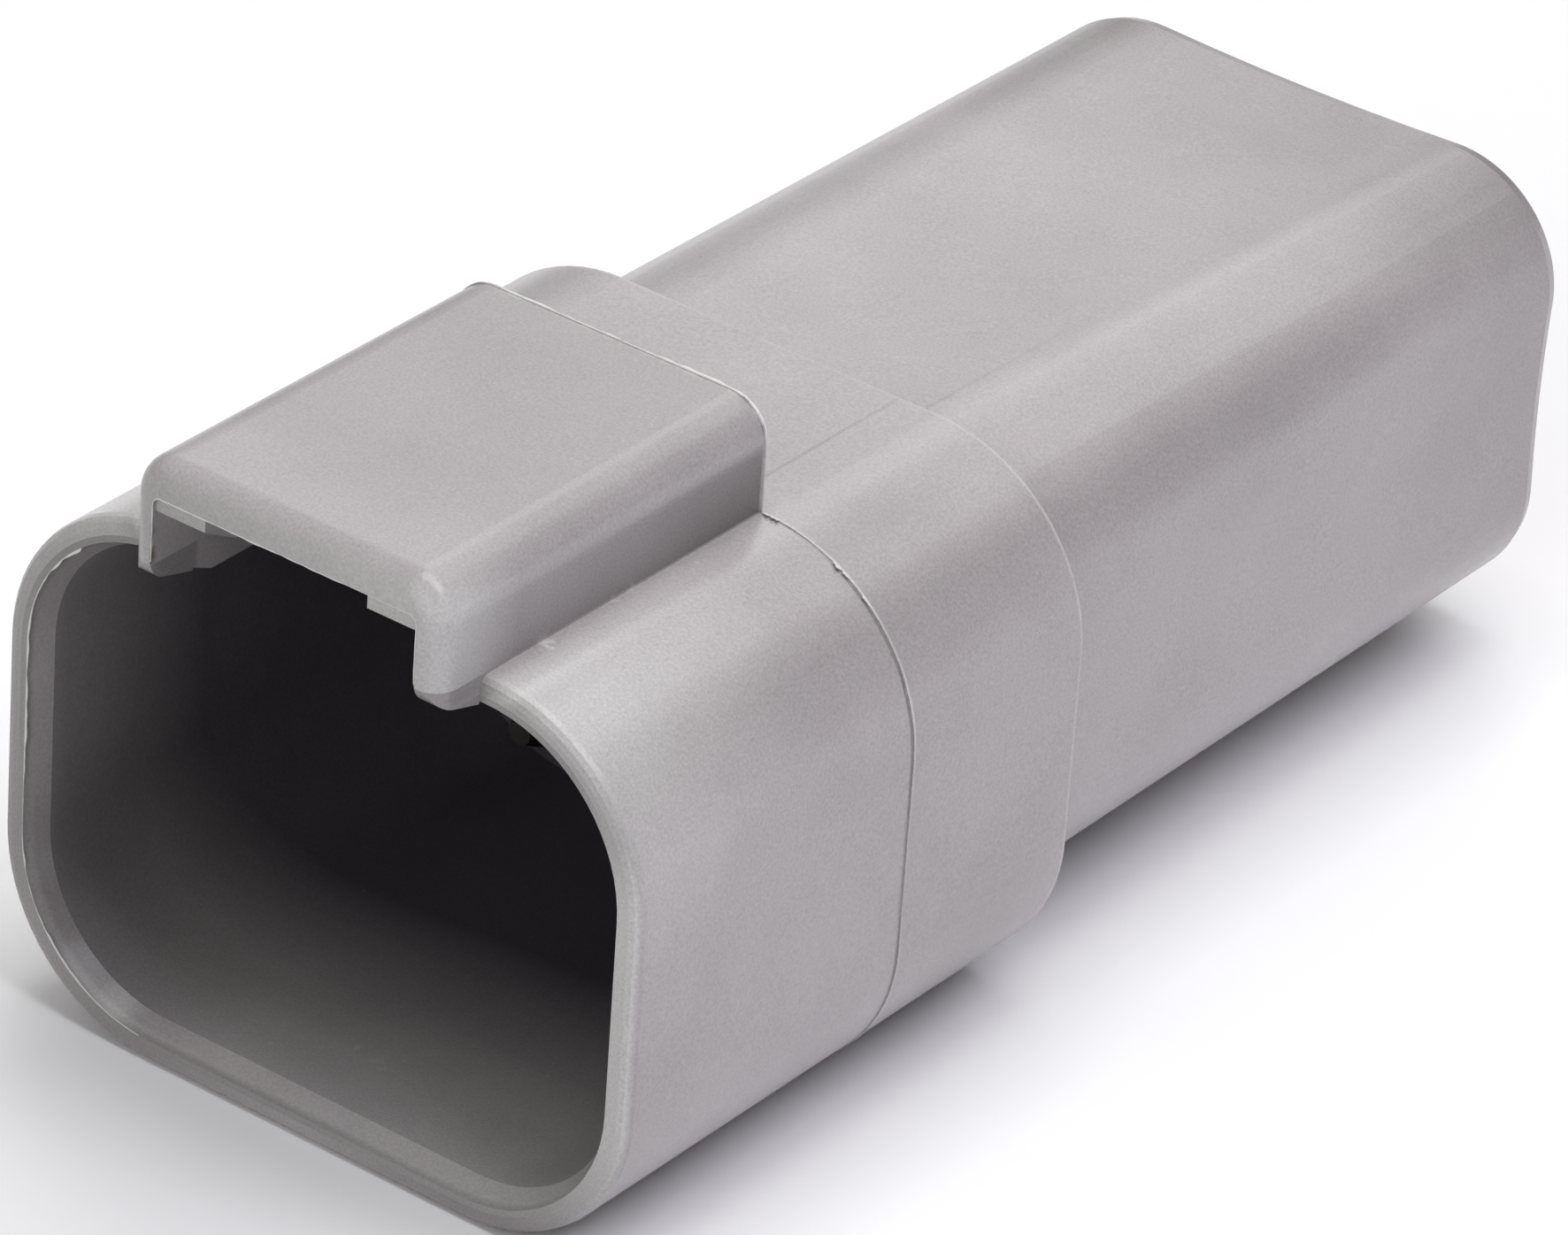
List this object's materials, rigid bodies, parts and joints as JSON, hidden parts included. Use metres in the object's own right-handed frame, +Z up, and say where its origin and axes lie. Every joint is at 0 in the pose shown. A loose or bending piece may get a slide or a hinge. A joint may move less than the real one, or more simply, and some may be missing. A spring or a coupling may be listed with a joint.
{
  "type": "sealed automotive connector receptacle",
  "caption": "Grey moulded receptacle of a sealed wire-to-wire connector, with an open shroud, a latch hood, turned pins, a wedge lock and a silicone wire seal.",
  "frame": {"origin": "middle of the shroud's mouth, on the connector's axis", "axes": "+X across to the right when looking in from behind the mouth, +Y back along the plug's path, +Z up towards the latch hood"},
  "size_m": [0.0226, 0.0488, 0.0208],
  "materials": {
    "housing_plastic": "satin grey glass-filled nylon",
    "wedge_plastic": "satin black moulding",
    "seal_silicone": "soft silicone",
    "contact_metal": "nickel-plated copper alloy"
  },
  "bodies": {
    "root": {"housing": "housing_plastic", "wedge_lock": "wedge_plastic", "wire_seal": "seal_silicone", "contact_pin_1": "contact_metal", "contact_pin_2": "contact_metal", "contact_pin_3": "contact_metal", "contact_pin_4": "contact_metal"}
  },
  "joints": []
}
